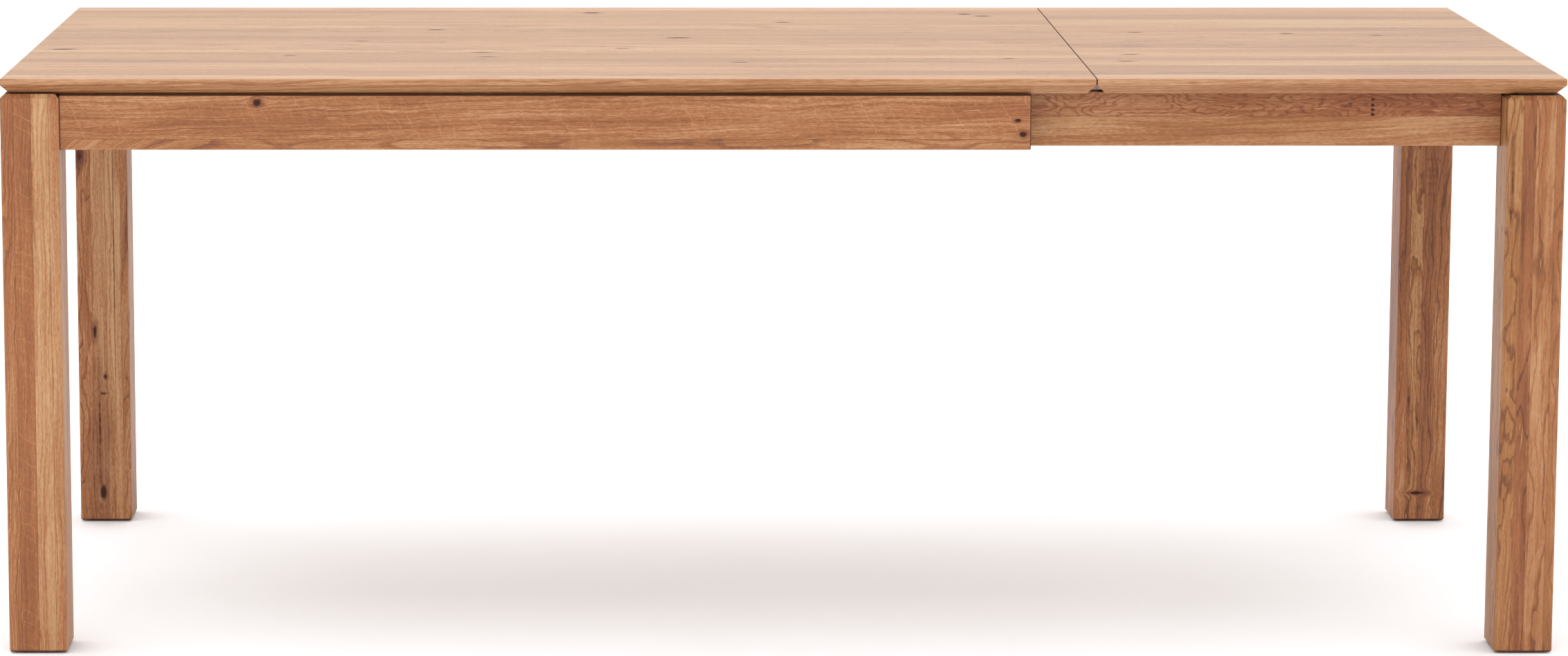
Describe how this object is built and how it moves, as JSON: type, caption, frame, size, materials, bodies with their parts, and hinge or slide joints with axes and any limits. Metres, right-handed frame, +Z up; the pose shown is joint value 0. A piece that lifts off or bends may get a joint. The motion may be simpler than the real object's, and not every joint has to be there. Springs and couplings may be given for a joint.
{
  "type": "extending dining table",
  "caption": "Rectangular oak dining table: one end's legs pull out on an inner frame that runs on ball guides, and a loose leaf lies on it, level with the main top.",
  "frame": {"origin": "on the floor under the middle of the extended table", "axes": "+X along the table to the end that pulls out, -Y to the front side, +Z up"},
  "size_m": [2, 0.9, 0.75],
  "materials": {
    "oak_top": "oiled",
    "oak_leaf": "oiled",
    "oak_legs": "oiled",
    "oak_aprons": "oiled",
    "oak_inside": "raw",
    "beech_dowel": "raw",
    "zinc_steel": "satin",
    "bright_steel": "satin",
    "felt": "matte",
    "glide_plastic": "matte"
  },
  "bodies": {
    "main_frame": {"main_top": "oak_top", "leg_front_left": "oak_legs", "leg_back_left": "oak_legs", "outer_apron_front": "oak_aprons", "outer_apron_back": "oak_aprons", "end_apron_left": "oak_aprons", "corner_block_front_left": "oak_inside", "corner_block_back_left": "oak_inside", "apron_dowels_left": "beech_dowel", "guide_channel_front": "zinc_steel", "guide_channel_back": "zinc_steel", "guide_stops": "zinc_steel", "top_angle_brackets": "zinc_steel", "top_stiffener_bars": "zinc_steel", "top_stiffener_screws": "bright_steel", "guide_channel_screws": "bright_steel", "top_angle_screws": "bright_steel", "leg_bolts_left": "bright_steel", "leg_washers_left": "bright_steel", "foot_glides_left": "glide_plastic"},
    "pull_out_frame": {"leg_front_right": "oak_legs", "leg_back_right": "oak_legs", "foot_glides_right": "glide_plastic", "inner_apron_front": "oak_aprons", "inner_apron_back": "oak_aprons", "end_apron_right": "oak_aprons", "cross_rail_inner_end": "oak_inside", "cross_rail_middle": "oak_inside", "frame_dowels_right": "beech_dowel", "corner_block_front_right": "oak_inside", "corner_block_back_right": "oak_inside", "leg_bolts_right": "bright_steel", "leg_washers_right": "bright_steel", "guide_runner_front": "zinc_steel", "guide_runner_back": "zinc_steel", "guide_runner_screws": "bright_steel", "leaf_support_pads": "felt"},
    "ball_cages": {"ball_cage_front": "zinc_steel", "ball_cage_back": "zinc_steel", "guide_balls": "bright_steel"},
    "leaf": {"leaf": "oak_leaf", "leaf_stiffener_bars": "zinc_steel", "leaf_stiffener_screws": "bright_steel"}
  },
  "joints": [
    {"name": "frame_slide", "type": "slide", "parent": "main_frame", "child": "pull_out_frame", "axis": [1, 0, 0], "range_m": [-0.6, 0]},
    {"name": "cage_slide", "type": "slide", "parent": "main_frame", "child": "ball_cages", "axis": [1, 0, 0], "range_m": [-0.3, 0]},
    {"name": "leaf_lift", "type": "slide", "parent": "main_frame", "child": "leaf", "axis": [0, 0, 1], "range_m": [0, 0.25]}
  ],
  "couplings": [
    {"joint": "cage_slide", "follows": "frame_slide", "ratio": 0.5}
  ]
}
